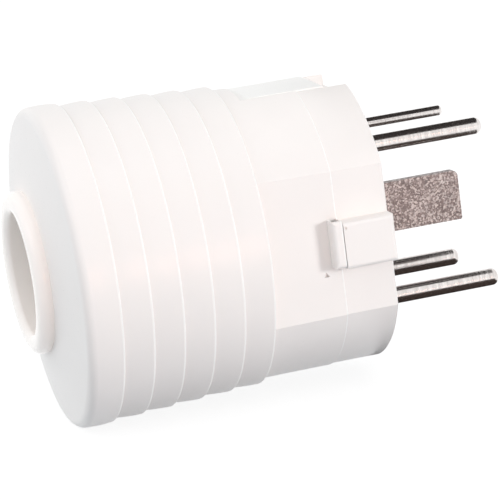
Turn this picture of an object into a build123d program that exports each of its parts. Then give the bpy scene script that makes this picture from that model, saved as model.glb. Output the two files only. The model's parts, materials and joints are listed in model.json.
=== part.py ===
"""A round five-pin mains plug: ribbed hood, pin carrier, terminals and cord clamp.

X runs along the plug's axis towards the pins and Z points up. The origin is the
centre of the mating face, the front face of the pin carrier. All sizes are in mm.
"""
import os
from math import hypot

from build123d import *

# Pins and earth blade
pin_across = 24.0
pin_apart = 31.8
pin_length = 26.0
pin_radius = 1.75
neutral_radius = 1.1
pin_tip_flat = 0.45
pin_root = 4.0
pin_shoulder = 0.25
blade_height = 10.4
blade_thickness = 2.0
blade_length = 23.7
blade_corner = 1.2
blade_lower_corner = 0.4

# Terminals
foot_size = 7.6
foot_depth = 6.0
foot_ledge = 0.9
body_length = 14.0
earth_foot_height = 12.0
earth_foot_width = 9.0
chamber_depth = 10.0
chamber_out = 4.2
chamber_across = 3.6
terminal_screw_radius = 1.6
terminal_head_radius = 2.6
earth_screw_radius = 1.7
earth_head_radius = 3.2
screw_from_end = 4.6
screw_standoff = 0.8
head_height = 1.9
head_round = 0.45
slot_width = 0.8
slot_depth = 0.9
plate_thickness = 0.8
plate_length = 7.0

# Hood: seam, neck, grip rings and end wall, from front to rear
carrier_rim = 10.7
neck_length = 15.4
ring_count = 6
ring_pitch = 6.28
band_length = 7.1
end_rise = 2.95
shell_allowance = 4.55
side_flat_depth = 3.8
inner_flat_depth = 2.7
neck_draft = 0.1
neck_step = 0.95
ring_step = 0.355
ring_flare = 0.35
ring_crown = 0.12
band_crown = 0.25
ring_edge_round = 0.55
corner_round = 2.0
seat_radius = 16.8
hood_wall = 2.4
end_wall = 2.8
seam_step = 0.2

# Collar around the cable entry
collar_rise = 3.05
collar_foot_radius = 16.5
collar_lip_radius = 17.1
collar_neck_radius = 14.2
collar_bore_radius = 12.4
collar_flange_radius = 16.0
collar_flange = 2.0
collar_rim_round = 2.0
collar_mouth_round = 1.4

# Pin carrier
front_wall = 5.0
rim_chamfer = 0.3
face_recess = 0.8
face_rim = 2.2
pin_ring = 1.6
spigot_length = 6.5
spigot_wall = 1.8
pocket_wall = 1.5

# Side latches: a hollow lip on the hood, a pad on the carrier and a nose inside them
lip_height = 9.5
lip_lift = 0.35
lip_length = 2.1
lip_rise = 3.5
pad_height = 9.4
pad_rise = 3.7
block_round = 0.8
pad_gap = 0.1
eye_length = 1.5
eye_depth = 2.7
window_height = 8.6
nose_height = 6.0
nose_rise = 2.2
gate_radius = 0.28
gate_inset = 0.42
gate_height = 3.6
gate_depth = 0.3
mark_radius = 0.6
mark_back = 3.4
mark_drop = 6.0
mark_depth = 0.6

# Locking slide in a channel along the top, open at the front
slide_front = 4.8
slide_length = 17.5
slide_width = 16.2
slide_height = 2.65
channel_floor = 1.0
slide_rear_gap = 0.3
slide_side_gap = 0.3
slide_round = 0.3
ramp_length = 1.6
ramp_drop = 0.8
peg_radius = 1.2
peg_length = 0.7

# Retainer plate behind the terminals' feet
retainer_thickness = 2.5
retainer_post_spread = 29.0
retainer_post_radius = 3.2
retainer_screw_radius = 1.45
retainer_screw_bite = 5.0
retainer_head_radius = 2.8

# Cord clamp: saddle, bridge, screws and nuts
post_length = 7.75
post_radius = 3.4
post_spread = 44.0
post_drop = 8.0
saddle_width = 52.0
saddle_height = 15.0
saddle_round = 8.0
clamp_length = 11.0
clamp_gap = 1.6
cord_radius = 8.5
rib_height = 0.8
rib_width = 1.6
bridge_wall = 3.2
bridge_ear = 5.0
bridge_width = 39.0
clamp_screw_spread = 31.0
clamp_screw_radius = 2.0
clamp_head_radius = 3.4
nut_size = 7.0
nut_thickness = 3.2
saddle_screw_radius = 1.6
saddle_head_radius = 2.9
saddle_screw_bite = 5.5

# Clearances
fit = 0.15
hole_fit = 0.1
press = 0.02

# Distance within which a profile's corner is picked by its place
corner_pick = 0.01

# Radii that follow from the pins' pattern: the terminal pockets set the neck, the neck sets the grip
pocket_reach = hypot(pin_across / 2 + foot_size / 2, pin_apart / 2 + foot_size / 2)
neck_radius = pocket_reach + shell_allowance
side_flat = neck_radius - side_flat_depth
inner_flat = neck_radius - inner_flat_depth
grip_radius = neck_radius + neck_draft + neck_step + (ring_count - 1) * ring_step

# Stations along the axis
seam_x = -carrier_rim
neck_back = seam_x - neck_length
corner_x = neck_back - (ring_count - 1) * ring_pitch - band_length
seat_x = corner_x - end_rise
rim_x = seat_x - collar_rise
inner_seat_x = seat_x + end_wall
cavity_front = neck_back - hood_wall
pocket_floor = -front_wall
root_end = pocket_floor - pin_root
foot_back = pocket_floor - foot_depth
terminal_end = foot_back - body_length
screw_x = terminal_end + screw_from_end
saddle_back = inner_seat_x + post_length
saddle_front = saddle_back + clamp_length
clamp_middle = saddle_back + clamp_length / 2
lip_middle = seam_x - lip_length / 2
slide_back = -slide_front - slide_length
slide_middle = (slide_back - slide_front) / 2
channel_back = slide_back - slide_rear_gap
channel_z = inner_flat - channel_floor
slide_top = channel_z + slide_height
hood_peg_x = (seam_x + slide_back) / 2
carrier_peg_x = (seam_x - slide_front) / 2

# Insets of the neck's section for the pieces nested inside it
spigot_inset = hood_wall + fit
chamber_inset = spigot_inset + spigot_wall
retainer_inset = chamber_inset + fit

# Round contacts: place across and up the mating face, and radius
contacts = {
    "l1": (-pin_across / 2, pin_apart / 2, pin_radius),
    "l2": (-pin_across / 2, -pin_apart / 2, pin_radius),
    "l3": (pin_across / 2, -pin_apart / 2, pin_radius),
    "neutral": (pin_across / 2, pin_apart / 2, neutral_radius),
}
pin_places = [(y, z) for y, z, radius in contacts.values()]
retainer_places = [(side * retainer_post_spread / 2, 0) for side in (-1, 1)]
post_places = [(side * post_spread / 2, -post_drop) for side in (-1, 1)]
clamp_screw_places = [(clamp_middle, side * clamp_screw_spread / 2) for side in (-1, 1)]


def ring_radius(index):
    """Outer radius of a grip ring at its front edge, counted from the rear."""
    return grip_radius - index * ring_step


def ring_front(index):
    """Station of a grip ring's front edge."""
    return neck_back - (ring_count - 1 - index) * ring_pitch


def neck_section(inset, mode=Mode.ADD):
    """Put the neck's inner section, round with four flats, moved inwards by inset, in the open sketch."""
    Circle(neck_radius - inset, mode=mode)
    Rectangle(2 * (side_flat - inset), 2 * (inner_flat - inset), mode=Mode.INTERSECT)


def corners_at(sketch, places):
    """The corners of an open sketch that lie on the given places."""
    corners = sketch.vertices()
    return [v for v in corners if any(hypot(v.X - x, v.Y - y) < corner_pick for x, y in places)]


def slide_channel():
    """The outline of the locking slide's channel, on its floor."""
    with BuildSketch(Plane.XY.offset(channel_z)) as channel:
        with Locations((channel_back, 0)):
            Rectangle(-channel_back, slide_width + 2 * slide_side_gap, align=(Align.MIN, Align.CENTER))
    return channel.sketch


def peg_hole(peg_x):
    """The outline of a hole for one of the locking slide's pegs, on the channel's floor."""
    with BuildSketch(Plane.XY.offset(channel_z)) as hole:
        with Locations((peg_x, 0)):
            Circle(peg_radius + hole_fit)
    return hole.sketch


def slotted_screw(seat, shank_radius, shank_length, head_radius):
    """A slotted screw: its head stands on the plane seat and its shank runs back from it."""
    with BuildPart() as screw:
        with BuildSketch(seat):
            Circle(head_radius)
        extrude(amount=head_height)
        top = screw.faces().sort_by(Axis(seat.origin, seat.z_dir))[-1]
        fillet(top.edges(), head_round)
        with BuildSketch(seat):
            Circle(shank_radius)
        extrude(amount=-shank_length)
        with BuildSketch(seat.offset(head_height)):
            Rectangle(2 * head_radius, slot_width)
        extrude(amount=-slot_depth, mode=Mode.SUBTRACT)
    return screw.part


def save(part, name):
    """Label a finished piece and write its file."""
    part.label = name
    export_step(part, f"parts/{name}.step")


os.makedirs("parts", exist_ok=True)

# Lip of the near side latch, with its rear and side edges rounded
with BuildPart() as lip_form:
    with BuildSketch(Plane.XZ.offset(side_flat - hood_wall / 2)):
        with Locations((lip_middle, lip_lift)):
            Rectangle(lip_length, lip_height)
    extrude(amount=lip_rise + hood_wall / 2)
    lip_top = lip_form.faces().sort_by(Axis.Y)[0]
    fillet(lip_top.edges().sort_by(Axis.X)[:-1], block_round)

# Pad of the near side latch, with its front and side edges rounded and a gate mark
with BuildPart() as pad_form:
    with BuildSketch(Plane.XZ.offset(side_flat - hood_wall / 2)):
        with Locations((seam_x + pad_gap, 0)):
            Rectangle(carrier_rim - pad_gap, pad_height, align=(Align.MIN, Align.CENTER))
    extrude(amount=pad_rise + hood_wall / 2)
    pad_top = pad_form.faces().sort_by(Axis.Y)[0]
    fillet(pad_top.edges().sort_by(Axis.X)[1:], block_round)
    with BuildSketch(Plane.XZ.offset(side_flat + pad_rise)):
        with Locations((seam_x + pad_gap + gate_inset, gate_height)):
            Circle(gate_radius)
    extrude(amount=-gate_depth, mode=Mode.SUBTRACT)

# Hood: one moulded shell with stepped grip rings, a flatted neck, latch lips and clamp posts
crests = [(ring_front(index), ring_radius(index)) for index in range(ring_count)]
heels = [(ring_front(index), ring_radius(index + 1) - ring_flare) for index in range(ring_count - 1)]
heels = [(corner_x, grip_radius)] + heels + [(neck_back, neck_radius + neck_draft)]
crowns = [band_crown] + (ring_count - 1) * [ring_crown]

with BuildPart() as hood:
    with BuildSketch(Plane.XY) as hood_profile:
        with BuildLine():
            Polyline(heels[-1], (seam_x, neck_radius), (seam_x, 0), (seat_x, 0))
            Polyline((seat_x, 0), (seat_x, seat_radius), heels[0])
            for heel, crest, crown, next_heel in zip(heels, crests, crowns, heels[1:]):
                middle = ((heel[0] + crest[0]) / 2, (heel[1] + crest[1]) / 2 + crown)
                ThreePointArc(heel, middle, crest)
                Line(crest, next_heel)
        make_face()
        fillet(corners_at(hood_profile, crests), ring_edge_round)
        fillet(corners_at(hood_profile, [(corner_x, grip_radius)]), corner_round)
    revolve(axis=Axis.X)
    with BuildSketch(Plane.YZ.offset(neck_back)):
        Circle(grip_radius)
        Rectangle(2 * side_flat, 2 * grip_radius, mode=Mode.SUBTRACT)
    extrude(amount=neck_length, mode=Mode.SUBTRACT)
    chamfer(hood.faces().sort_by(Axis.X)[-1].edges(), seam_step)
    with BuildSketch(Plane.XY):
        with BuildLine():
            Polyline(
                (inner_seat_x, 0),
                (inner_seat_x, seat_radius),
                (corner_x + end_wall, grip_radius - hood_wall),
                (cavity_front, neck_radius - hood_wall),
                (cavity_front, 0),
                close=True,
            )
        make_face()
    revolve(axis=Axis.X, mode=Mode.SUBTRACT)
    with BuildSketch(Plane.YZ.offset(cavity_front)):
        neck_section(hood_wall)
    extrude(amount=seam_x - cavity_front, mode=Mode.SUBTRACT)
    with BuildSketch(Plane.YZ.offset(seat_x)):
        Circle(collar_neck_radius + hole_fit)
    extrude(amount=end_wall, mode=Mode.SUBTRACT)
    with BuildSketch(Plane.YZ.offset(saddle_back)):
        with Locations(*post_places):
            Circle(post_radius)
    extrude(amount=-post_length)
    with BuildSketch(Plane.YZ.offset(saddle_back)):
        with Locations(*post_places):
            Circle(saddle_screw_radius + press)
    extrude(amount=-saddle_screw_bite - hole_fit, mode=Mode.SUBTRACT)
    add(lip_form.part)
    add(mirror(lip_form.part, about=Plane.XZ, mode=Mode.PRIVATE))
    for side in (-1, 1):
        with Locations((lip_middle, side * (side_flat + eye_depth / 2), lip_lift)):
            Box(eye_length, eye_depth, lip_height, mode=Mode.SUBTRACT)
        with Locations((lip_middle, side * (side_flat - hood_wall / 2), 0)):
            Box(eye_length, hood_wall, window_height, mode=Mode.SUBTRACT)
    extrude(slide_channel(), amount=grip_radius - channel_z, mode=Mode.SUBTRACT)
    extrude(peg_hole(hood_peg_x), amount=-peg_length - hole_fit, mode=Mode.SUBTRACT)
    with BuildSketch(Plane.XZ.offset(side_flat)):
        with Locations((seam_x - mark_back, -mark_drop)):
            RegularPolygon(mark_radius, 3, rotation=90)
    extrude(amount=-mark_depth, mode=Mode.SUBTRACT)
save(hood.part, "hood")

# Cable collar: a soft glossy ring whose groove grips the edge of the hood's end hole
with BuildPart() as cable_collar:
    with BuildSketch(Plane.XY) as collar_profile:
        with BuildLine():
            Polyline(
                (seat_x, collar_neck_radius),
                (seat_x, collar_foot_radius),
                (rim_x, collar_lip_radius),
                (rim_x, collar_bore_radius),
                (inner_seat_x + collar_flange, collar_bore_radius),
                (inner_seat_x + collar_flange, collar_flange_radius),
                (inner_seat_x, collar_flange_radius),
                (inner_seat_x, collar_neck_radius),
                close=True,
            )
        make_face()
        fillet(corners_at(collar_profile, [(rim_x, collar_lip_radius)]), collar_rim_round)
        fillet(corners_at(collar_profile, [(rim_x, collar_bore_radius)]), collar_mouth_round)
    revolve(axis=Axis.X)
save(cable_collar.part, "cable_collar")

# Pin carrier: recessed face with pin rings, flatted rim, spigot, terminal pockets and latch pads
with BuildPart() as contact_carrier:
    with BuildSketch(Plane.YZ.offset(seam_x)):
        Circle(neck_radius - seam_step)
        Rectangle(2 * (side_flat - seam_step), 2 * neck_radius, mode=Mode.INTERSECT)
    extrude(amount=carrier_rim)
    chamfer(contact_carrier.faces().sort_by(Axis.X)[-1].edges(), rim_chamfer)
    with BuildSketch(Plane.YZ):
        neck_section(face_rim)
        with Locations(*pin_places):
            Circle(pin_radius + pin_ring, mode=Mode.SUBTRACT)
        Rectangle(blade_thickness + 2 * pin_ring, blade_height + 2 * pin_ring, mode=Mode.SUBTRACT)
    extrude(amount=-face_recess, mode=Mode.SUBTRACT)
    with BuildSketch(Plane.YZ.offset(seam_x)):
        neck_section(spigot_inset)
    extrude(amount=-spigot_length)
    with BuildSketch(Plane.YZ.offset(seam_x - spigot_length)):
        neck_section(chamber_inset)
    extrude(amount=carrier_rim + spigot_length - front_wall, mode=Mode.SUBTRACT)
    with BuildSketch(Plane.YZ.offset(foot_back)):
        with Locations(*pin_places):
            Rectangle(foot_size + 2 * pocket_wall, foot_size + 2 * pocket_wall)
        Rectangle(earth_foot_width + 2 * pocket_wall, earth_foot_height + 2 * pocket_wall)
        with Locations(*retainer_places):
            Circle(retainer_post_radius)
        neck_section(chamber_inset - spigot_wall / 2, mode=Mode.INTERSECT)
    extrude(amount=foot_depth)
    with BuildSketch(Plane.YZ.offset(foot_back)):
        with Locations(*pin_places):
            Rectangle(foot_size + 2 * hole_fit, foot_size + 2 * hole_fit)
        Rectangle(earth_foot_width + 2 * hole_fit, earth_foot_height + 2 * hole_fit)
    extrude(amount=foot_depth, mode=Mode.SUBTRACT)
    with BuildSketch(Plane.YZ.offset(pocket_floor)):
        for y, z, radius in contacts.values():
            with Locations((y, z)):
                Circle(radius - pin_shoulder + hole_fit)
        Rectangle(blade_thickness + 2 * hole_fit, blade_height + 2 * hole_fit)
    extrude(amount=front_wall, mode=Mode.SUBTRACT)
    with BuildSketch(Plane.YZ.offset(foot_back)):
        with Locations(*retainer_places):
            Circle(retainer_screw_radius + press)
    extrude(amount=retainer_screw_bite + hole_fit, mode=Mode.SUBTRACT)
    add(pad_form.part)
    add(mirror(pad_form.part, about=Plane.XZ, mode=Mode.PRIVATE))
    for side in (-1, 1):
        nose_middle = side_flat - chamber_inset + (spigot_wall + nose_rise) / 2
        with Locations((lip_middle, side * nose_middle, 0)):
            Box(eye_length - 2 * fit, spigot_wall + nose_rise, nose_height)
    extrude(slide_channel(), amount=grip_radius - channel_z, mode=Mode.SUBTRACT)
    extrude(peg_hole(carrier_peg_x), amount=-peg_length - hole_fit, mode=Mode.SUBTRACT)
save(contact_carrier.part, "contact_carrier")

# Locking slide: a low bar with a ramped rear end, in its channel across the seam, with a peg in each half
with BuildPart() as locking_slide:
    with BuildSketch(Plane.XY.offset(channel_z)):
        with Locations((slide_middle, 0)):
            Rectangle(slide_length, slide_width)
    extrude(amount=slide_height)
    with BuildSketch(Plane.XZ):
        with BuildLine():
            Polyline(
                (slide_back, slide_top),
                (slide_back, slide_top - ramp_drop),
                (slide_back + ramp_length, slide_top),
                close=True,
            )
        make_face()
    extrude(amount=slide_width, both=True, mode=Mode.SUBTRACT)
    fillet(locking_slide.faces().sort_by(Axis.Z)[-1].edges(), slide_round)
    with BuildSketch(Plane.XY.offset(channel_z)):
        with Locations((hood_peg_x, 0), (carrier_peg_x, 0)):
            Circle(peg_radius)
    extrude(amount=-peg_length)
save(locking_slide.part, "locking_slide")

# Round pins: turned, with a domed tip, a shoulder on the mating face and a root pressed into the terminal
for name, (y, z, radius) in contacts.items():
    with BuildPart() as pin:
        with BuildSketch(Plane.YZ.offset(root_end)):
            with Locations((y, z)):
                Circle(radius - pin_shoulder)
        extrude(amount=-root_end)
        with BuildSketch(Plane.YZ):
            with Locations((y, z)):
                Circle(radius)
        extrude(amount=pin_length)
        fillet(pin.faces().sort_by(Axis.X)[-1].edges(), radius - pin_tip_flat)
    save(pin.part, f"pin_{name}")

# Earth blade: a flat bar on the axis with rounded corners
with BuildPart() as earth_blade:
    with BuildSketch(Plane.YZ.offset(root_end)):
        Rectangle(blade_thickness, blade_height)
    extrude(amount=blade_length - root_end)
    end_edges = earth_blade.faces().sort_by(Axis.X)[-1].edges().filter_by(Axis.Y).sort_by(Axis.Z)
    fillet(end_edges[-1], blade_corner)
    end_edges = earth_blade.faces().sort_by(Axis.X)[-1].edges().filter_by(Axis.Y).sort_by(Axis.Z)
    fillet(end_edges[0], blade_lower_corner)
save(earth_blade.part, "earth_blade")

# Terminals: place, the way the screw faces, foot and body as (along screw, across), screw and head radius
phase_foot = (foot_size, foot_size)
phase_body = (foot_size, foot_size - 2 * foot_ledge)
earth_foot = (earth_foot_height, earth_foot_width)
earth_body = (earth_foot_height, earth_foot_width - 2 * foot_ledge)
terminals = {"earth": (0, 0, (0, 0, 1), earth_foot, earth_body, earth_screw_radius, earth_head_radius)}
for name, (y, z, radius) in contacts.items():
    outwards = (0, -1, 0) if y < 0 else (0, 1, 0)
    terminals[name] = (y, z, outwards, phase_foot, phase_body, terminal_screw_radius, terminal_head_radius)


def screw_plane(y, z, out, height):
    """The plane square to out at a terminal's screw, at a height above the terminal's axis."""
    return Plane(origin=Vector(screw_x, y, z) + Vector(*out) * height, x_dir=(1, 0, 0), z_dir=out)


plates = {}
screws = {}
for name, (y, z, out, foot, body, screw_radius, head_radius) in terminals.items():
    place = Plane(origin=(0, y, z), x_dir=out, z_dir=(1, 0, 0))
    with BuildPart() as terminal:
        with BuildSketch(place.offset(pocket_floor)):
            Rectangle(*foot)
        extrude(amount=-foot_depth)
        with BuildSketch(place.offset(foot_back)):
            Rectangle(*body)
        extrude(amount=-body_length)
        with BuildSketch(place.offset(pocket_floor)):
            if name == "earth":
                Rectangle(blade_height + 2 * press, blade_thickness + 2 * press)
            else:
                Circle(contacts[name][2] - pin_shoulder + press)
        extrude(amount=-pin_root, mode=Mode.SUBTRACT)
        with BuildSketch(place.offset(terminal_end)):
            Rectangle(chamber_out, chamber_across)
        extrude(amount=chamber_depth, mode=Mode.SUBTRACT)
        with BuildSketch(screw_plane(y, z, out, body[0] / 2)):
            Circle(screw_radius + press)
        extrude(amount=-body[0] / 2, mode=Mode.SUBTRACT)
    save(terminal.part, f"terminal_{name}")
    plate_top = chamber_out / 2 - fit
    with BuildPart() as plate:
        with BuildSketch(screw_plane(y, z, out, plate_top)):
            Rectangle(plate_length, chamber_across - 2 * fit)
        extrude(amount=-plate_thickness)
    plates[name] = plate.part
    head_seat = body[0] / 2 + screw_standoff
    seat = screw_plane(y, z, out, head_seat)
    screws[name] = slotted_screw(seat, screw_radius, head_seat - plate_top, head_radius)

# Clamping screws and pressure plates: one of each for the earth, a group of each for the round contacts
save(screws["earth"], "earth_screw")
save(plates["earth"], "earth_clamp_plate")
with BuildPart() as terminal_screws:
    for name in contacts:
        add(screws[name])
save(terminal_screws.part, "terminal_screws")
with BuildPart() as wire_clamp_plates:
    for name in contacts:
        add(plates[name])
save(wire_clamp_plates.part, "wire_clamp_plates")

# Retainer plate: holds the terminals' feet in their pockets and lets their bodies through
with BuildPart() as retainer_plate:
    with BuildSketch(Plane.YZ.offset(foot_back)):
        neck_section(retainer_inset)
        with Locations(*pin_places):
            Rectangle(phase_body[0] + 2 * fit, phase_body[1] + 2 * fit, mode=Mode.SUBTRACT)
        Rectangle(earth_body[1] + 2 * fit, earth_body[0] + 2 * fit, mode=Mode.SUBTRACT)
        with Locations(*retainer_places):
            Circle(retainer_screw_radius + hole_fit, mode=Mode.SUBTRACT)
    extrude(amount=-retainer_thickness)
save(retainer_plate.part, "retainer_plate")

screw_pair = []
for y, z in retainer_places:
    seat = Plane(origin=(foot_back - retainer_thickness, y, z), x_dir=(0, 1, 0), z_dir=(-1, 0, 0))
    shank = retainer_thickness + retainer_screw_bite
    screw_pair.append(slotted_screw(seat, retainer_screw_radius, shank, retainer_head_radius))
with BuildPart() as retainer_screws:
    add(screw_pair)
save(retainer_screws.part, "retainer_screws")

# Cord saddle: the lower half of the cord clamp, on two posts inside the hood's end wall
with BuildPart() as cord_saddle:
    with BuildSketch(Plane.YZ.offset(saddle_back)) as saddle_profile:
        with Locations((0, -clamp_gap / 2)):
            Rectangle(saddle_width, saddle_height, align=(Align.CENTER, Align.MAX))
        fillet(saddle_profile.vertices().group_by(Axis.Y)[0], saddle_round)
        Circle(cord_radius, mode=Mode.SUBTRACT)
        with Locations(*post_places):
            Circle(saddle_screw_radius + hole_fit, mode=Mode.SUBTRACT)
    extrude(amount=clamp_length)
    with BuildSketch(Plane.YZ.offset(clamp_middle - rib_width / 2)):
        Circle(cord_radius)
        Circle(cord_radius - rib_height, mode=Mode.SUBTRACT)
        with Locations((0, -clamp_gap / 2)):
            Rectangle(2 * cord_radius, cord_radius, align=(Align.CENTER, Align.MAX), mode=Mode.INTERSECT)
    extrude(amount=rib_width)
    with BuildSketch(Plane.XY.offset(-clamp_gap / 2 - saddle_height)):
        with Locations(*clamp_screw_places):
            Circle(clamp_screw_radius + hole_fit)
    extrude(amount=saddle_height, mode=Mode.SUBTRACT)
    with BuildSketch(Plane.XY.offset(-clamp_gap / 2 - saddle_height)):
        with Locations(*clamp_screw_places):
            Rectangle(nut_size + 2 * hole_fit, nut_size + 2 * hole_fit)
    extrude(amount=nut_thickness, mode=Mode.SUBTRACT)
save(cord_saddle.part, "cord_saddle")

# Cord bridge: the upper half of the cord clamp, an arch with two ears
with BuildPart() as cord_bridge:
    with BuildSketch(Plane.YZ.offset(saddle_back)):
        Circle(cord_radius + bridge_wall)
        with Locations((0, clamp_gap / 2)):
            Rectangle(bridge_width, bridge_ear, align=(Align.CENTER, Align.MIN))
            arch_height = cord_radius + bridge_wall
            Rectangle(bridge_width, arch_height, align=(Align.CENTER, Align.MIN), mode=Mode.INTERSECT)
        Circle(cord_radius, mode=Mode.SUBTRACT)
    extrude(amount=clamp_length)
    with BuildSketch(Plane.YZ.offset(clamp_middle - rib_width / 2)):
        Circle(cord_radius)
        Circle(cord_radius - rib_height, mode=Mode.SUBTRACT)
        with Locations((0, clamp_gap / 2)):
            Rectangle(2 * cord_radius, cord_radius, align=(Align.CENTER, Align.MIN), mode=Mode.INTERSECT)
    extrude(amount=rib_width)
    with BuildSketch(Plane.XY.offset(clamp_gap / 2)):
        with Locations(*clamp_screw_places):
            Circle(clamp_screw_radius + hole_fit)
    extrude(amount=bridge_ear, mode=Mode.SUBTRACT)
save(cord_bridge.part, "cord_bridge")

screw_pair = []
for x, y in clamp_screw_places:
    seat = Plane(origin=(x, y, clamp_gap / 2 + bridge_ear))
    shank = bridge_ear + clamp_gap + saddle_height
    screw_pair.append(slotted_screw(seat, clamp_screw_radius, shank, clamp_head_radius))
with BuildPart() as clamp_screws:
    add(screw_pair)
save(clamp_screws.part, "clamp_screws")

with BuildPart() as clamp_nuts:
    with BuildSketch(Plane.XY.offset(-clamp_gap / 2 - saddle_height)):
        with Locations(*clamp_screw_places):
            Rectangle(nut_size, nut_size)
            Circle(clamp_screw_radius + press, mode=Mode.SUBTRACT)
    extrude(amount=nut_thickness)
save(clamp_nuts.part, "clamp_nuts")

screw_pair = []
for y, z in post_places:
    seat = Plane(origin=(saddle_front, y, z), x_dir=(0, 1, 0), z_dir=(1, 0, 0))
    shank = clamp_length + saddle_screw_bite
    screw_pair.append(slotted_screw(seat, saddle_screw_radius, shank, saddle_head_radius))
with BuildPart() as saddle_screws:
    add(screw_pair)
save(saddle_screws.part, "saddle_screws")
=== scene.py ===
# %% [markdown]
# # A round three-phase plug, dressed for its picture
#
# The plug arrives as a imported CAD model: every moulding, pin, terminal and screw is already in place, in metres,
# with its axis along X and the pins pointing to +X. Nothing is moved here. This lesson sets up the camera, gives
# each piece the finish of the real thing, and then lays the floor and hangs the lamps.

# %% Load the plug
import json
import math

import bmesh
import bpy
from mathutils import Matrix, Vector


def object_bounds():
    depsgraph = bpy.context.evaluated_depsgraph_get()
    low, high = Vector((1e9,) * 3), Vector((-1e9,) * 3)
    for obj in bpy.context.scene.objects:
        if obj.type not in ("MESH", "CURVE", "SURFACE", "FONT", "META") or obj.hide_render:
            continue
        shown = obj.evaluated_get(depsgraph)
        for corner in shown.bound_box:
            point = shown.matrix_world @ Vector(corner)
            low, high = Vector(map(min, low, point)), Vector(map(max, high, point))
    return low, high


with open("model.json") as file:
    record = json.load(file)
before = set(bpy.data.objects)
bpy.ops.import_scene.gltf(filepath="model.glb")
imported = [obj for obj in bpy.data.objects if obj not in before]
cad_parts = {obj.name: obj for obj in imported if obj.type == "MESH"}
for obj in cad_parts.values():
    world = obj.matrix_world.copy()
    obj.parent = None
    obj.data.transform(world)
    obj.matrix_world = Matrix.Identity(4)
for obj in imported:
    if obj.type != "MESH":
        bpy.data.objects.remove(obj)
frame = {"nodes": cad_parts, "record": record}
cad_low, cad_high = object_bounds()
nodes = frame["nodes"]
print(f"{len(nodes)} pieces in a box of {[round(v * 1000, 1) for v in cad_high - cad_low]} mm")

# %% [markdown]
# ## Camera
#
# The plug is seen from its near side, a little from above and a little from the cable end, through a long lens, so
# its rings are nearly straight ellipses. The picture is also rolled: the axis climbs towards the pins. A camera
# could be aimed with a constraint, but then the roll is awkward. Here the camera's three axes are worked out from
# an azimuth, an elevation and a roll, and go straight into its matrix. Two short slides place the plug in the frame.

# %% Camera
view_azimuth = math.radians(-14.47)
view_elevation = math.radians(12.14)
view_roll = math.radians(-7.42)
view_distance = 0.6376
slide_left = 0.020825
slide_up = -0.007587
sensor_width = 36.0
lens_length = 222.05

back = Vector((
    math.sin(view_azimuth) * math.cos(view_elevation),
    -math.cos(view_azimuth) * math.cos(view_elevation),
    math.sin(view_elevation),
))
level_right = Vector((0, 0, 1)).cross(back).normalized()
level_up = back.cross(level_right)
right = level_right * math.cos(view_roll) + level_up * math.sin(view_roll)
up = level_up * math.cos(view_roll) - level_right * math.sin(view_roll)

camera_data = bpy.data.cameras.new("photo_camera")
camera_data.sensor_width = sensor_width
camera_data.lens = lens_length
camera = bpy.data.objects.new("photo_camera", camera_data)
place = back * view_distance - right * slide_left + up * slide_up
camera.matrix_world = Matrix.Translation(place) @ Matrix((right, up, back)).transposed().to_4x4()
bpy.context.scene.collection.objects.link(camera)
bpy.context.scene.camera = camera
print(f"camera {place.length * 1000:.0f} mm from the middle of the mating face")

# %% [markdown]
# ## Helpers for materials
#
# A Blender material is a graph of nodes. It could be drawn by hand in the shader editor; in a script, a few small
# functions keep it readable. One adds a node and fills its inputs, each with a plain value or with a link from
# another node. One does the same for a sum, and one begins a group that several materials can share. Every pattern
# reads Object coordinates, which are metres on this model, so a scale of 1000 means one cell to the millimetre.

# %% Node helpers
FLOAT = "NodeSocketFloat"
COLOUR = "NodeSocketColor"
VECTOR = "NodeSocketVector"


def fill(tree, socket, value):
    """Link an input socket to another node's output, or set its plain value."""
    if isinstance(value, bpy.types.NodeSocket):
        tree.links.new(value, socket)
    else:
        socket.default_value = value


def put(tree, kind, label, settings=None, **inputs):
    """Add a node, set its properties, fill the inputs that are named, and give it back."""
    node = tree.nodes.new(kind)
    node.label = label
    for name, value in (settings or {}).items():
        setattr(node, name, value)
    for name, value in inputs.items():
        fill(tree, node.inputs[name.replace("_", " ")], value)
    return node


def reckon(tree, operation, label, *values, clamp=False):
    """Add a Math node that works on the values, and give back its result."""
    node = put(tree, "ShaderNodeMath", label, {"operation": operation, "use_clamp": clamp})
    for socket, value in zip(node.inputs, values):
        fill(tree, socket, value)
    return node.outputs["Value"]


def start_group(name, takes, gives):
    """Begin a shader node group; takes holds (name, type, default) and gives holds (name, type)."""
    tree = bpy.data.node_groups.new(name, "ShaderNodeTree")
    for label, kind, default in takes:
        socket = tree.interface.new_socket(label, in_out="INPUT", socket_type=kind)
        socket.default_value = default
    for label, kind in gives:
        tree.interface.new_socket(label, in_out="OUTPUT", socket_type=kind)
    return tree, tree.nodes.new("NodeGroupInput"), tree.nodes.new("NodeGroupOutput")


print("node helpers: fill, put, reckon, start_group")

# %% [markdown]
# ## Moulded grain
#
# The mouldings are white thermoset: almost one colour, but never quite. The tool leaves a fine spark-eroded grain,
# and the flow of the melt leaves faint cloudy shades. The grain could be real displacement, but it is only a few
# hundredths of a millimetre high, so a bump is enough. One group makes the tint, the roughness and the height of
# the grain, and each plastic places it with its own values.

# %% Moulded grain group
mm_per_metre = 1000.0
flow_per_metre = 55.0
cloud_from, cloud_full = 0.35, 0.75

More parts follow.
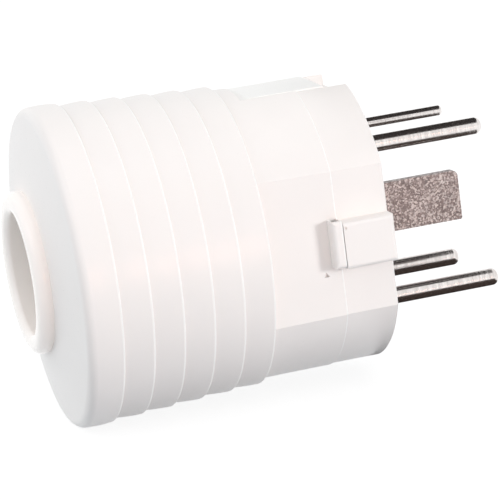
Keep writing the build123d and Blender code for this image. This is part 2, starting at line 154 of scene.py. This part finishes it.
moulded, takes, gives = start_group(
    "moulded_grain",
    [
        ("Base", COLOUR, (0.8, 0.8, 0.8, 1)),
        ("Cloud", COLOUR, (0.7, 0.7, 0.7, 1)),
        ("Grain per mm", FLOAT, 3.0),
        ("Rough low", FLOAT, 0.4),
        ("Rough high", FLOAT, 0.6),
    ],
    [("Color", COLOUR), ("Roughness", FLOAT), ("Height", FLOAT)],
)
where = put(moulded, "ShaderNodeTexCoord", "metres").outputs["Object"]
grain_scale = reckon(moulded, "MULTIPLY", "cells to the metre", takes.outputs["Grain per mm"], mm_per_metre)
grain = put(
    moulded, "ShaderNodeTexNoise", "spark-eroded grain",
    Vector=where, Scale=grain_scale, Detail=2.0, Roughness=0.6,
)
flow = put(
    moulded, "ShaderNodeTexNoise", "flow of the melt",
    Vector=where, Scale=flow_per_metre, Detail=3.0, Distortion=0.6,
)
cloud = put(
    moulded, "ShaderNodeMapRange", "cloud mask",
    Value=flow.outputs["Fac"], From_Min=cloud_from, From_Max=cloud_full,
)
tint = put(
    moulded, "ShaderNodeMix", "cloudy tint", {"data_type": "RGBA"},
    Factor=cloud.outputs["Result"], A=takes.outputs["Base"], B=takes.outputs["Cloud"],
)
sheen = put(
    moulded, "ShaderNodeMapRange", "roughness from the grain",
    Value=grain.outputs["Fac"], To_Min=takes.outputs["Rough low"], To_Max=takes.outputs["Rough high"],
)
fill(moulded, gives.inputs["Color"], tint.outputs["Result"])
fill(moulded, gives.inputs["Roughness"], sheen.outputs["Result"])
fill(moulded, gives.inputs["Height"], grain.outputs["Fac"])
print("group", moulded.name, "has", len(moulded.nodes), "nodes")

# %% [markdown]
# ## Surfaces
#
# Every piece of the plug is plastic or metal, so all its materials end in the same shader. The lines that make it,
# and that join a group's colour, roughness and height to it, could stand in each material. Three functions keep them
# in one place. The first also serves the floor, the world and the cards, which have shaders of their own.


# %% Surface helpers
def bare_graph(owner):
    """Turn on the nodes of a material or a world, clear them, and give back the empty graph."""
    owner.use_nodes = True
    owner.node_tree.nodes.clear()
    return owner.node_tree


def new_material(name):
    """A material whose graph holds only its surface shader and its output."""
    material = bpy.data.materials.new(name)
    tree = bare_graph(material)
    surface = put(tree, "ShaderNodeBsdfPrincipled", "surface")
    put(tree, "ShaderNodeOutputMaterial", "output", Surface=surface.outputs["BSDF"])
    return material, tree, surface


def wear_skin(tree, surface, skin, bump_strength, bump_height):
    """Join a group's colour, roughness and height to a surface shader."""
    bump = put(
        tree, "ShaderNodeBump", "fine bump",
        Strength=bump_strength, Distance=bump_height, Height=skin.outputs["Height"],
    )
    fill(tree, surface.inputs["Base Color"], skin.outputs["Color"])
    fill(tree, surface.inputs["Roughness"], skin.outputs["Roughness"])
    fill(tree, surface.inputs["Normal"], bump.outputs["Normal"])


print("surface helpers: bare_graph, new_material, wear_skin")

# %% [markdown]
# ## Plastics
#
# Four plastics use the grain. The hood and the contact carrier share one white. The locking slide gets a slightly
# whiter copy of that white, a painted highlight that makes its top brighter. The cable collar is a soft glossy ring:
# it has a coarser, gentler grain, a clear coat, and a faint warm emission, which is painted light: it glows though
# it is no lamp and lifts the collar's shaded inside. Subsurface scattering could brighten it instead, but a little
# emission is quicker and enough at this size. The plate and the clamp inside are creamy and duller.


# %% Plastics
def plastic(name, base, cloudy, grain_per_mm, rough, bump_strength, bump_height):
    """A moulded plastic, with its cloudy tint, grain and roughness from the shared group."""
    material, tree, surface = new_material(name)
    skin = put(
        tree, "ShaderNodeGroup", "moulded grain", {"node_tree": moulded},
        Base=(*base, 1), Cloud=(*cloudy, 1), Grain_per_mm=grain_per_mm, Rough_low=rough[0], Rough_high=rough[1],
    )
    wear_skin(tree, surface, skin, bump_strength, bump_height)
    return material, tree, surface


shell_grain = {"grain_per_mm": 3.2, "rough": (0.24, 0.36), "bump_strength": 0.12, "bump_height": 0.00004}
white_shell, shell_tree, shell_surface = plastic(
    "white_shell", base=(0.91, 0.857, 0.828), cloudy=(0.89, 0.838, 0.81), **shell_grain
)
# Painted highlight: the slide is a whiter copy of the shell's white, so its top looks brighter.
slide_painted_white, _, _ = plastic(
    "slide_painted_white", base=(0.965, 0.935, 0.907), cloudy=(0.945, 0.915, 0.887), **shell_grain
)
gloss_collar, _, collar_surface = plastic(
    "gloss_collar", base=(0.92, 0.86, 0.825), cloudy=(0.90, 0.84, 0.805),
    grain_per_mm=0.6, rough=(0.12, 0.2), bump_strength=0.08, bump_height=0.00006,
)
collar_surface.inputs["Coat Weight"].default_value = 0.4
collar_surface.inputs["Coat Roughness"].default_value = 0.06
# Painted light: a faint warm emission, so the collar glows a little though it is no lamp.
collar_surface.inputs["Emission Color"].default_value = (1.0, 0.88, 0.79, 1)
collar_surface.inputs["Emission Strength"].default_value = 0.12
inner_plastic, _, _ = plastic(
    "inner_plastic", base=(0.74, 0.71, 0.64), cloudy=(0.68, 0.65, 0.58),
    grain_per_mm=2.0, rough=(0.45, 0.62), bump_strength=0.15, bump_height=0.00005,
)
print("plastics:", white_shell.name, slide_painted_white.name, gloss_collar.name, inner_plastic.name)

# %% [markdown]
# ## Painted edge highlights
#
# The six ring edges and the seam get thin bright lines around the grip. These are painted highlights: a paler colour
# on those faces stands in for the light that the rounded edges catch. A second material on those faces would need
# the mesh cut up. The edges repeat every 6.28 mm along the axis, so a mask can be counted out from X alone: how far
# a point is through its ring is near one just behind each front edge. The mask covers the six rings only, or it
# would draw one more line on the corner of the hood's end.

# %% Painted edge highlights group
ring_front = -0.0261
ring_pitch = 0.00628
edge_ahead = 0.00015
edge_from, edge_full = 0.9, 0.95
grip_middle_rings, grip_half_rings = -2.6, 2.9
seam_middle = -0.0108
seam_half = 0.00012

# Mask for the painted highlights: near one just behind each ring's front edge, and on the seam.
edge_highlights, takes, gives = start_group("painted_edge_highlights", [("Strength", FLOAT, 1.0)], [("Mask", FLOAT)])
where = put(edge_highlights, "ShaderNodeTexCoord", "metres").outputs["Object"]
along = put(edge_highlights, "ShaderNodeSeparateXYZ", "place along the axis", Vector=where).outputs["X"]
from_front = reckon(edge_highlights, "SUBTRACT", "from the first edge", along, ring_front + edge_ahead)
rings = reckon(edge_highlights, "DIVIDE", "rings passed", from_front, ring_pitch)
part_way = reckon(edge_highlights, "FRACT", "part of a ring", rings)
near_edge = put(
    edge_highlights, "ShaderNodeMapRange", "near the edge", {"interpolation_type": "SMOOTHSTEP"},
    Value=part_way, From_Min=edge_from, From_Max=edge_full,
)
on_grip = reckon(edge_highlights, "COMPARE", "on the six rings", rings, grip_middle_rings, grip_half_rings)
ring_edges = reckon(edge_highlights, "MULTIPLY", "ring edges", near_edge.outputs["Result"], on_grip)
on_seam = reckon(edge_highlights, "COMPARE", "seam", along, seam_middle, seam_half)
either = reckon(edge_highlights, "MAXIMUM", "ring edge or seam", ring_edges, on_seam)
strong = reckon(edge_highlights, "MULTIPLY", "by strength", either, takes.outputs["Strength"])
fill(edge_highlights, gives.inputs["Mask"], strong)
print("group", edge_highlights.name, "has", len(edge_highlights.nodes), "nodes")

# %% [markdown]
# ## Paint the highlights on the shell
#
# The shell's colour already comes from the grain group. It could be painted over in a new material, but a mix set
# between the group and the shader is enough: it lets the old colour through, and a paler one, the painted highlight,
# where the mask is on.

# %% Paint the highlights on the shell
# Painted highlight: the pale colour that the ring edges and the seam take where the mask is on.
highlight_strength = 0.8
highlight_colour = (1.0, 0.985, 0.97, 1)
highlights = put(shell_tree, "ShaderNodeGroup", "painted edge highlights", {"node_tree": edge_highlights}, Strength=highlight_strength)
shell_colour = shell_surface.inputs["Base Color"].links[0].from_socket
highlighted = put(
    shell_tree, "ShaderNodeMix", "painted highlight where masked", {"data_type": "RGBA"},
    Factor=highlights.outputs["Mask"], A=shell_colour, B=highlight_colour,
)
fill(shell_tree, shell_surface.inputs["Base Color"], highlighted.outputs["Result"])
print(white_shell.name, "has", len(shell_tree.nodes), "nodes")

# %% [markdown]
# ## Metal marks
#
# A metal shows how its part was made: turning leaves rings, drawing a bar leaves streaks, and plating leaves fine
# spots. Each could have a pattern of its own, but a noise that is stretched along one axis gives them all. The
# group takes the number of cells to the metre along X, Y and Z, so a low number draws the marks out that way.

# %% Metal marks group
marks_middle = 0.5

marked, takes, gives = start_group(
    "metal_marks",
    [
        ("Bright", COLOUR, (0.8, 0.8, 0.8, 1)),
        ("Dark", COLOUR, (0.3, 0.3, 0.3, 1)),
        ("Cells per metre", VECTOR, (800, 800, 800)),
        ("Contrast", FLOAT, 0.5),
        ("Rough low", FLOAT, 0.2),
        ("Rough high", FLOAT, 0.4),
    ],
    [("Color", COLOUR), ("Roughness", FLOAT), ("Height", FLOAT)],
)
where = put(marked, "ShaderNodeTexCoord", "metres").outputs["Object"]
stretch = put(marked, "ShaderNodeVectorMath", "stretched along the marks", {"operation": "MULTIPLY"})
fill(marked, stretch.inputs[0], where)
fill(marked, stretch.inputs[1], takes.outputs["Cells per metre"])
marks = put(
    marked, "ShaderNodeTexNoise", "marks",
    Vector=stretch.outputs["Vector"], Scale=1.0, Detail=3.0, Roughness=0.65,
)
half = reckon(marked, "MULTIPLY", "half the contrast", takes.outputs["Contrast"], 0.5)
lower_edge = reckon(marked, "SUBTRACT", "lower edge", marks_middle, half)
upper_edge = reckon(marked, "ADD", "upper edge", marks_middle, half)
mark_level = put(
    marked, "ShaderNodeMapRange", "mark level",
    Value=marks.outputs["Fac"], From_Min=lower_edge, From_Max=upper_edge,
).outputs["Result"]
tint = put(
    marked, "ShaderNodeMix", "metal tint", {"data_type": "RGBA"},
    Factor=mark_level, A=takes.outputs["Dark"], B=takes.outputs["Bright"],
)
polish = put(
    marked, "ShaderNodeMapRange", "roughness from the marks",
    Value=mark_level, To_Min=takes.outputs["Rough high"], To_Max=takes.outputs["Rough low"],
)
fill(marked, gives.inputs["Color"], tint.outputs["Result"])
fill(marked, gives.inputs["Roughness"], polish.outputs["Result"])
fill(marked, gives.inputs["Height"], mark_level)
print("group", marked.name, "has", len(marked.nodes), "nodes")

# %% [markdown]
# ## Metals
#
# The round pins are turned and then nickel plated, so fine rings run around them. The terminals are cut from drawn
# brass, with streaks along them. The screws, nuts and pressure plates are zinc-plated steel, with spots that run no
# way in particular. As with the plastics, one function makes them all and only the values differ.


# %% Metals
def metal(name, bright, dark, cells_per_metre, contrast, rough, bump_strength, bump_height):
    """A bare metal, with its tint, roughness and bump from the shared marks group."""
    material, tree, surface = new_material(name)
    surface.inputs["Metallic"].default_value = 1.0
    skin = put(
        tree, "ShaderNodeGroup", "metal marks", {"node_tree": marked},
        Bright=(*bright, 1), Dark=(*dark, 1), Cells_per_metre=cells_per_metre, Contrast=contrast,
        Rough_low=rough[0], Rough_high=rough[1],
    )
    wear_skin(tree, surface, skin, bump_strength, bump_height)
    return material


nickel_pin = metal(
    "nickel_pin", bright=(0.94, 0.90, 0.88), dark=(0.68, 0.63, 0.61), cells_per_metre=(2400, 170, 170),
    contrast=0.5, rough=(0.16, 0.28), bump_strength=0.35, bump_height=0.00004,
)
brass_terminal = metal(
    "brass_terminal", bright=(0.80, 0.60, 0.28), dark=(0.60, 0.42, 0.17), cells_per_metre=(180, 1500, 1500),
    contrast=0.6, rough=(0.25, 0.42), bump_strength=0.2, bump_height=0.00003,
)
zinc_steel = metal(
    "zinc_steel", bright=(0.72, 0.73, 0.74), dark=(0.52, 0.53, 0.55), cells_per_metre=(900, 900, 900),
    contrast=0.7, rough=(0.28, 0.45), bump_strength=0.2, bump_height=0.00003,
)
print("metals:", nickel_pin.name, brass_terminal.name, zinc_steel.name)

# %% [markdown]
# ## Earth blade
#
# The blade is stamped from strip and tumbled with grit, which leaves a coarse sparkle of dark pits and bright
# specks. The marks group could be tried here too, but noise looks like cloud. A Voronoi texture is made of separate
# grains, each with one random shade, so it gives the sparkle. A soft noise adds faint worn patches to it.

# %% Blade grit
grit_per_metre = 3000.0
patches_per_metre = 420.0
patch_from, patch_full = 0.25, 0.75
patch_low, patch_high = 0.45, 0.59
grain_share = 0.5

blade_metal, blade_tree, blade_surface = new_material("earth_blade")
blade_surface.inputs["Metallic"].default_value = 1.0
where = put(blade_tree, "ShaderNodeTexCoord", "metres").outputs["Object"]
grit = put(
    blade_tree, "ShaderNodeTexVoronoi", "tumbled grit", {"feature": "F1"},
    Vector=where, Scale=grit_per_metre,
)
shade = put(blade_tree, "ShaderNodeSeparateColor", "one shade to a grain", Color=grit.outputs["Color"])
patches = put(
    blade_tree, "ShaderNodeTexNoise", "worn patches",
    Vector=where, Scale=patches_per_metre, Detail=3.0, Roughness=0.6,
)
faint = put(
    blade_tree, "ShaderNodeMapRange", "faint patches",
    Value=patches.outputs["Fac"], From_Min=patch_from, From_Max=patch_full, To_Min=patch_low, To_Max=patch_high,
)
mixed = reckon(
    blade_tree, "MULTIPLY_ADD", "grain and patch", shade.outputs["Red"], grain_share, faint.outputs["Result"]
)
print(blade_metal.name, "grit has", len(blade_tree.nodes), "nodes")

# %% [markdown]
# ## Blade surface
#
# The grit is only a number so far. A mix of two colours could dye it, but then the middle is as bright as their
# average. A colour ramp with a third stop keeps most of the blade dark and lets only a few grains shine. The grains
# also differ in roughness, and a low bump sets them apart.

# %% Blade surface
pit_stop, pit_colour = 0.4, (0.155, 0.127, 0.123, 1)
worn_stop, worn_colour = 0.75, (0.3, 0.25, 0.242, 1)
speck_stop, speck_colour = 1.0, (0.66, 0.6, 0.58, 1)
dull_grain, shiny_grain = 0.55, 0.3

ramp = put(blade_tree, "ShaderNodeValToRGB", "dark pits to bright specks", Fac=mixed)
pits, specks = ramp.color_ramp.elements
pits.position, pits.color = pit_stop, pit_colour
specks.position, specks.color = speck_stop, speck_colour
ramp.color_ramp.elements.new(worn_stop).color = worn_colour
sheen = put(
    blade_tree, "ShaderNodeMapRange", "roughness of the grains",
    Value=shade.outputs["Green"], To_Min=dull_grain, To_Max=shiny_grain,
)
bump = put(
    blade_tree, "ShaderNodeBump", "grit bump",
    Strength=0.3, Distance=0.00005, Height=grit.outputs["Distance"],
)
fill(blade_tree, blade_surface.inputs["Base Color"], ramp.outputs["Color"])
fill(blade_tree, blade_surface.inputs["Roughness"], sheen.outputs["Result"])
fill(blade_tree, blade_surface.inputs["Normal"], bump.outputs["Normal"])
print(blade_metal.name, "has", len(blade_tree.nodes), "nodes")

# %% [markdown]
# ## Dress the pieces
#
# The record names a material slot for every piece. The pieces could be dressed one by one, but a table from slot to
# material dresses them all, and a piece with a new slot stops the script here rather than stay bare. The locking
# slide shares the shell's slot, so its whiter copy of the shell's white, a painted highlight, stands in a second
# table.

# %% Dress the pieces
finishes = {
    "white_shell": white_shell,
    "gloss_collar": gloss_collar,
    "inner_plastic": inner_plastic,
    "nickel_pin": nickel_pin,
    "earth_blade": blade_metal,
    "brass_terminal": brass_terminal,
    "zinc_steel": zinc_steel,
}
# The slide's painted highlight: a whiter copy of the shell's white.
painted_white_finishes = {"locking_slide": slide_painted_white}
for row in frame["record"]["subparts"]:
    mesh = nodes[row["node"]].data
    mesh.materials.clear()
    mesh.materials.append(painted_white_finishes.get(row["node"], finishes[row["material_slot"]]))

# %% [markdown]
# ## Floor
#
# The plug lies on a plain floor, which meets its lowest point. A curved backdrop would also do, but the ground is
# seamless white in the picture anyway, so one large square is enough.

# %% Floor
scene = bpy.context.scene
scene.view_settings.view_transform = "Standard"
floor_span = 12.0
shape = bmesh.new()
bmesh.ops.create_grid(shape, x_segments=1, y_segments=1, size=floor_span / 2)
bmesh.ops.translate(shape, verts=shape.verts, vec=(0, 0, cad_low.z))
floor_mesh = bpy.data.meshes.new("floor")
shape.to_mesh(floor_mesh)
shape.free()
floor = bpy.data.objects.new("floor", floor_mesh)
scene.collection.objects.link(floor)
print("floor at", round(cad_low.z * 1000, 2), "mm")

# %% [markdown]
# ## Floor white
#
# The picture's ground is pure white. Brighter lamps would burn out the white plug as well, so the white comes from
# the floor's own shader, for rays that see it straight or in a reflection. All other rays meet a plain, slightly
# cool grey, which bounces soft light back up. The floor still darkens where the plug keeps light from it.

# %% Floor white
floor_albedo = 0.5
bounce_tint = (0.9, 1.0, 1.08)
seen_albedo = 0.2
seen_glow = 0.88


def by_ray(tree, plain, seen):
    """Mix two shaders: seen is for camera, glossy and transmission rays, and plain for all the others."""
    path = put(tree, "ShaderNodeLightPath", "ray kind")
    looking = reckon(
        tree, "ADD", "camera or glossy", path.outputs["Is Camera Ray"], path.outputs["Is Glossy Ray"], clamp=True
    )
    looking = reckon(tree, "ADD", "or transmission", looking, path.outputs["Is Transmission Ray"], clamp=True)
    mix = put(tree, "ShaderNodeMixShader", "by ray", Fac=looking)
    fill(tree, mix.inputs[1], plain)
    fill(tree, mix.inputs[2], seen)
    return mix.outputs["Shader"]


floor_white = bpy.data.materials.new("floor_white")
tree = bare_graph(floor_white)
bounce_colour = (*(floor_albedo * share for share in bounce_tint), 1)
bounce = put(tree, "ShaderNodeBsdfDiffuse", "bounce", Color=bounce_colour)
shaded = put(tree, "ShaderNodeBsdfDiffuse", "seen shade", Color=(seen_albedo, seen_albedo, seen_albedo, 1))
glow = put(tree, "ShaderNodeEmission", "seen white", Strength=seen_glow)
seen_floor = put(tree, "ShaderNodeAddShader", "seen floor")
fill(tree, seen_floor.inputs[0], shaded.outputs["BSDF"])
fill(tree, seen_floor.inputs[1], glow.outputs["Emission"])
floor_shader = by_ray(tree, bounce.outputs["BSDF"], seen_floor.outputs["Shader"])
put(tree, "ShaderNodeOutputMaterial", "output", Surface=floor_shader)
floor_mesh.materials.append(floor_white)
print(floor_white.name, "has", len(tree.nodes), "nodes")

# %% [markdown]
# ## World
#
# The world is the soft light of a room that is brighter on the left, at the cable end. It could be a photographed
# room, but no picture files are used here, and the X of the direction is enough to set the strength. As with the
# floor, the camera and the reflections see plain white instead.

# %% World
ambient_left = 1.32
ambient_right = 0.14
ambient_colour = (0.97, 1.0, 1.01, 1)

world = bpy.data.worlds.new("studio")
scene.world = world
tree = bare_graph(world)
direction = put(tree, "ShaderNodeTexCoord", "direction").outputs["Generated"]
split = put(tree, "ShaderNodeSeparateXYZ", "left to right", Vector=direction)
fall = put(
    tree, "ShaderNodeMapRange", "brighter on the left",
    Value=split.outputs["X"], From_Min=-1.0, To_Min=ambient_left, To_Max=ambient_right,
)
ambient = put(
    tree, "ShaderNodeBackground", "ambient light", Color=ambient_colour, Strength=fall.outputs["Result"]
)
backdrop = put(tree, "ShaderNodeBackground", "white backdrop", Color=(1, 1, 1, 1), Strength=1.0)
world_shader = by_ray(tree, ambient.outputs["Background"], backdrop.outputs["Background"])
put(tree, "ShaderNodeOutputWorld", "output", Surface=world_shader)
print("world", world.name, "falls from", ambient_left, "to", ambient_right)

# %% [markdown]
# ## Lamps
#
# Five square area lamps shape the plug: a key from the near side, a small warm one level with the axis, a cool one
# overhead, a little window close to the hood's end, and a rim lamp from behind. Watts would have to be tuned again
# after each move of a lamp, so a lamp is given by the level of light it lays on a surface that faces it. The key and
# the rim stay out of reflections, because from behind their glare would burn out the glossy top.


# %% Lamps
def soft_lamp(name, direction, distance, size, level, tint, mirrored=True):
    """A square area lamp aimed at the plug.

    level is the share of full light on a surface that faces it; mirrored says whether reflections show it.
    """
    data = bpy.data.lights.new(name, "AREA")
    data.size = size
    data.energy = level * math.pi ** 2 * distance ** 2
    data.color = tint
    lamp = bpy.data.objects.new(name, data)
    middle = (cad_low + cad_high) / 2
    towards = Vector(direction).normalized()
    lamp.location = middle + towards * distance
    lamp.rotation_euler = towards.to_track_quat("Z", "Y").to_euler()
    lamp.visible_camera = False
    lamp.visible_glossy = mirrored
    scene.collection.objects.link(lamp)


soft_lamp(
    "key", direction=(0.68, -0.8, 0.15), distance=1.1, size=0.26, level=0.485, tint=(0.98, 1.0, 1.01), mirrored=False
)
soft_lamp("low", direction=(0.1, -1.0, 0.0), distance=0.6, size=0.1, level=0.095, tint=(1.0, 0.5, 0.36))
soft_lamp("overhead", direction=(0.05, -0.25, 1.0), distance=1.1, size=0.6, level=0.03, tint=(0.7, 0.95, 1.15))
soft_lamp(
    "window", direction=(-0.784, -0.234, 0.578), distance=0.154, size=0.06, level=0.045, tint=(0.95, 0.97, 1.08)
)
soft_lamp(
    "rim", direction=(0.5, 0.5, 0.7), distance=1.1, size=0.5, level=0.2, tint=(1.0, 1.0, 1.0), mirrored=False
)

# %% [markdown]
# ## Dark cards
#
# Plated pins in an all-white room have nothing dark to mirror, and look like chalk. A darker metal would be simpler,
# but it would be wrong under any other light. A studio puts black cards just outside the picture, and so does this
# scene: one above the pins and one below. Only reflections meet them, so they cast no shadow and stay unseen.

# %% Dark cards
velvet_colour = (0.06, 0.045, 0.04, 1)
card_black = bpy.data.materials.new("card_black")
tree = bare_graph(card_black)
velvet = put(tree, "ShaderNodeBsdfDiffuse", "velvet", Color=velvet_colour)
put(tree, "ShaderNodeOutputMaterial", "output", Surface=velvet.outputs["BSDF"])


def dark_card(name, low_corner, high_corner):
    """A thin black card that only reflections meet; it gives bright metal its dark edges."""
    low_corner, high_corner = Vector(low_corner), Vector(high_corner)
    shape = bmesh.new()
    bmesh.ops.create_cube(shape, size=1.0)
    bmesh.ops.scale(shape, verts=shape.verts, vec=high_corner - low_corner)
    bmesh.ops.translate(shape, verts=shape.verts, vec=(low_corner + high_corner) / 2)
    mesh = bpy.data.meshes.new(name)
    shape.to_mesh(mesh)
    shape.free()
    mesh.materials.append(card_black)
    card = bpy.data.objects.new(name, mesh)
    scene.collection.objects.link(card)
    card.visible_camera = False
    card.visible_diffuse = False
    card.visible_transmission = False
    card.visible_shadow = False
    print("card", name, [round(v * 1000) for v in high_corner - low_corner], "mm")


dark_card("card_above", (0.0, -0.045, 0.05), (0.052, 0.06, 0.051))
dark_card("card_below", (0.0, -0.06, -0.032), (0.046, 0.06, -0.031))
